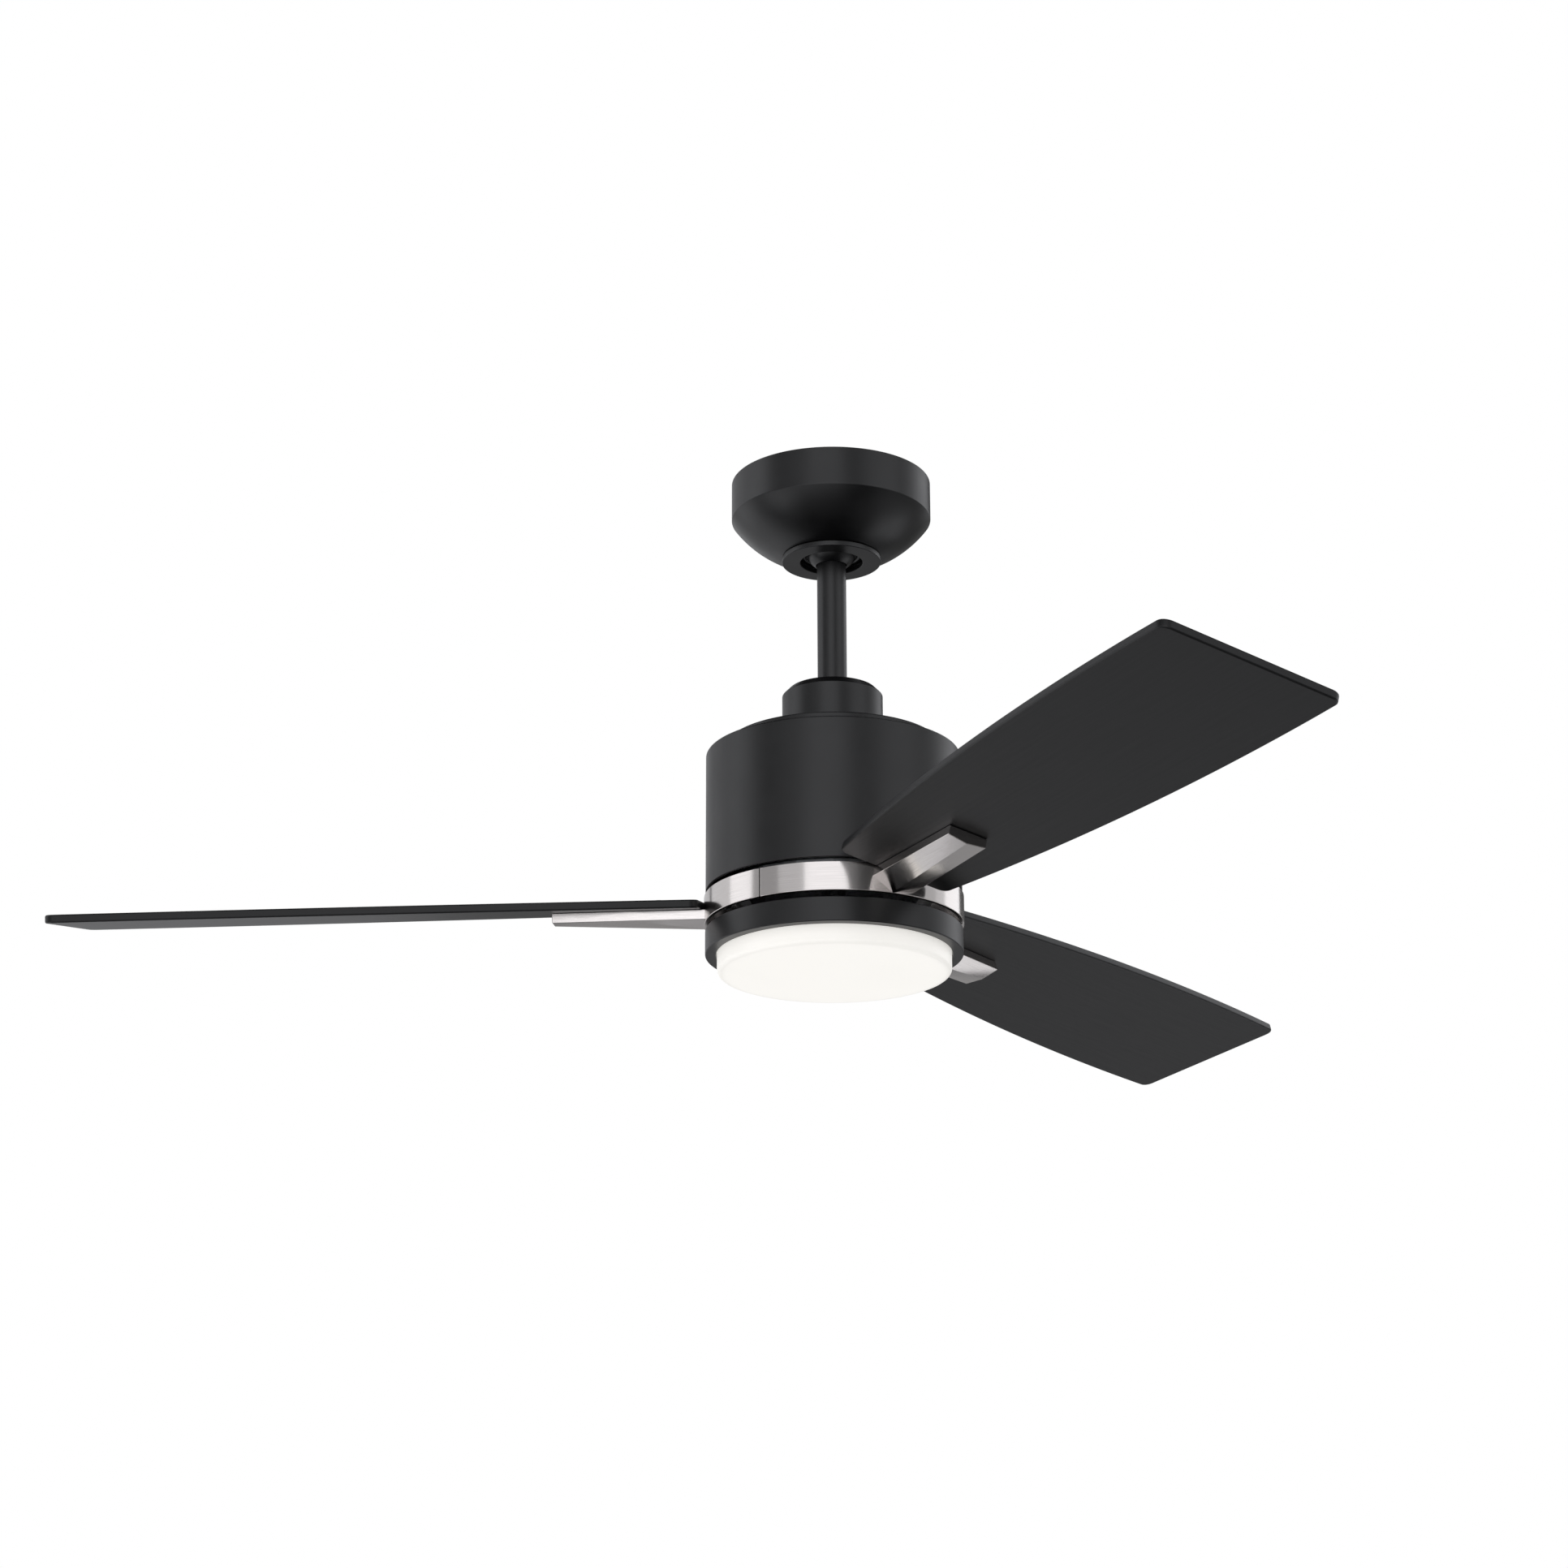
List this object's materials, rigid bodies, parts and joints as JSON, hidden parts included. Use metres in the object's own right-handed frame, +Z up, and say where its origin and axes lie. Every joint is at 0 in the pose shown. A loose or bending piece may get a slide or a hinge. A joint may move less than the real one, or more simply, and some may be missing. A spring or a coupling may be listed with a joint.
{
  "type": "ceiling fan with light",
  "caption": "Ceiling fan with a flat round light under the motor: black blades on nickel arms turn under a drum housing hung from a short downrod and canopy.",
  "frame": {"origin": "middle of the hanger bracket's top face, on the ceiling plane and the fan's vertical axis", "axes": "+Z up along the fan's axis into the ceiling, +X to the right and +Y away from the viewer; the hanger bracket is long in X"},
  "size_m": [0.921, 1.0217, 0.3749],
  "materials": {
    "satin_black_paint": "satin black powder coat",
    "brushed_nickel": "brushed nickel plating",
    "black_blade": "fibreboard blade with a matt black foil",
    "opal_lens": "frosted opal acrylic, lit from inside",
    "zinc_steel": "zinc plated steel",
    "bearing_steel": "ground bearing steel",
    "cast_aluminium": "raw die casting",
    "silicon_steel": "stacked electrical steel sheets",
    "magnet_ferrite": "sintered ferrite",
    "enamelled_copper": "enamelled copper wire",
    "nylon": "black nylon",
    "moulded_black": "moulded black plastic",
    "white_moulding": "white moulded plastic",
    "circuit_board": "white solder mask",
    "black_oxide_screw": "black oxide",
    "cable_jacket": "black cable jacket"
  },
  "bodies": {
    "ceiling_mount": {"hanger_bracket": "zinc_steel", "canopy": "satin_black_paint", "canopy_trim_ring": "satin_black_paint", "canopy_screw_1": "black_oxide_screw", "canopy_screw_2": "black_oxide_screw", "control_receiver": "moulded_black"},
    "seat_liner": {"ball_seat_liner": "nylon"},
    "hanging_fan": {"hanger_ball": "satin_black_paint", "ball_cross_pin": "zinc_steel", "ball_set_screw": "black_oxide_screw", "downrod": "satin_black_paint", "lead_cable": "cable_jacket", "motor_yoke": "zinc_steel", "clevis_pin": "zinc_steel", "hairpin_clip": "zinc_steel", "yoke_set_screw": "black_oxide_screw", "motor_housing": "satin_black_paint", "housing_screw_1": "zinc_steel", "housing_screw_2": "zinc_steel", "motor_shaft": "zinc_steel", "stator_core": "silicon_steel", "winding_upper": "enamelled_copper", "winding_lower": "enamelled_copper", "bearing_inner_upper": "bearing_steel", "bearing_inner_lower": "bearing_steel", "light_mount_plate": "zinc_steel", "shaft_lock_nut": "zinc_steel", "led_driver": "moulded_black", "light_pan": "satin_black_paint", "pan_screw_1": "zinc_steel", "pan_screw_2": "zinc_steel", "reflector_tray": "white_moulding", "led_board": "circuit_board"},
    "cover": {"coupling_cover": "satin_black_paint"},
    "lens": {"lens": "opal_lens"},
    "rotor": {"rotor_shell_upper": "cast_aluminium", "rotor_shell_lower": "cast_aluminium", "rotor_ring": "magnet_ferrite", "bearing_outer_upper": "bearing_steel", "bearing_outer_lower": "bearing_steel", "blade_arm_1": "brushed_nickel", "blade_arm_2": "brushed_nickel", "blade_arm_3": "brushed_nickel", "arm_screw_1": "zinc_steel", "arm_screw_2": "zinc_steel", "arm_screw_3": "zinc_steel", "blade_1": "black_blade", "blade_1_screw_1": "black_oxide_screw", "blade_1_screw_2": "black_oxide_screw", "blade_1_screw_3": "black_oxide_screw", "blade_2": "black_blade", "blade_2_screw_1": "black_oxide_screw", "blade_2_screw_2": "black_oxide_screw", "blade_2_screw_3": "black_oxide_screw", "blade_3": "black_blade", "blade_3_screw_1": "black_oxide_screw", "blade_3_screw_2": "black_oxide_screw", "blade_3_screw_3": "black_oxide_screw"},
    "cage_upper": {"bearing_cage_upper": "bearing_steel"},
    "cage_lower": {"bearing_cage_lower": "bearing_steel"}
  },
  "joints": [
    {"name": "hanger_swing_x", "type": "hinge", "parent": "ceiling_mount", "child": "seat_liner", "pos_m": [0, 0, -0.0458], "axis": [1, 0, 0], "range_deg": [-18, 18]},
    {"name": "hanger_swing_y", "type": "hinge", "parent": "seat_liner", "child": "hanging_fan", "pos_m": [0, 0, -0.0458], "axis": [0, 1, 0], "range_deg": [-18, 18]},
    {"name": "rotor_spin", "type": "hinge", "parent": "hanging_fan", "child": "rotor", "pos_m": [0, 0, -0.265], "axis": [0, 0, 1], "continuous": true},
    {"name": "cage_upper_spin", "type": "hinge", "parent": "hanging_fan", "child": "cage_upper", "pos_m": [0, 0, -0.235], "axis": [0, 0, 1], "continuous": true},
    {"name": "cage_lower_spin", "type": "hinge", "parent": "hanging_fan", "child": "cage_lower", "pos_m": [0, 0, -0.295], "axis": [0, 0, 1], "continuous": true},
    {"name": "cover_lift", "type": "slide", "parent": "hanging_fan", "child": "cover", "axis": [0, 0, 1], "range_m": [0, 0.075]},
    {"name": "lens_twist", "type": "hinge", "parent": "hanging_fan", "child": "lens", "pos_m": [0, 0, -0.3585], "axis": [0, 0, 1], "range_deg": [0, 25]}
  ],
  "couplings": [
    {"joint": "cage_upper_spin", "follows": "rotor_spin", "ratio": 0.5947},
    {"joint": "cage_lower_spin", "follows": "rotor_spin", "ratio": 0.5947}
  ]
}
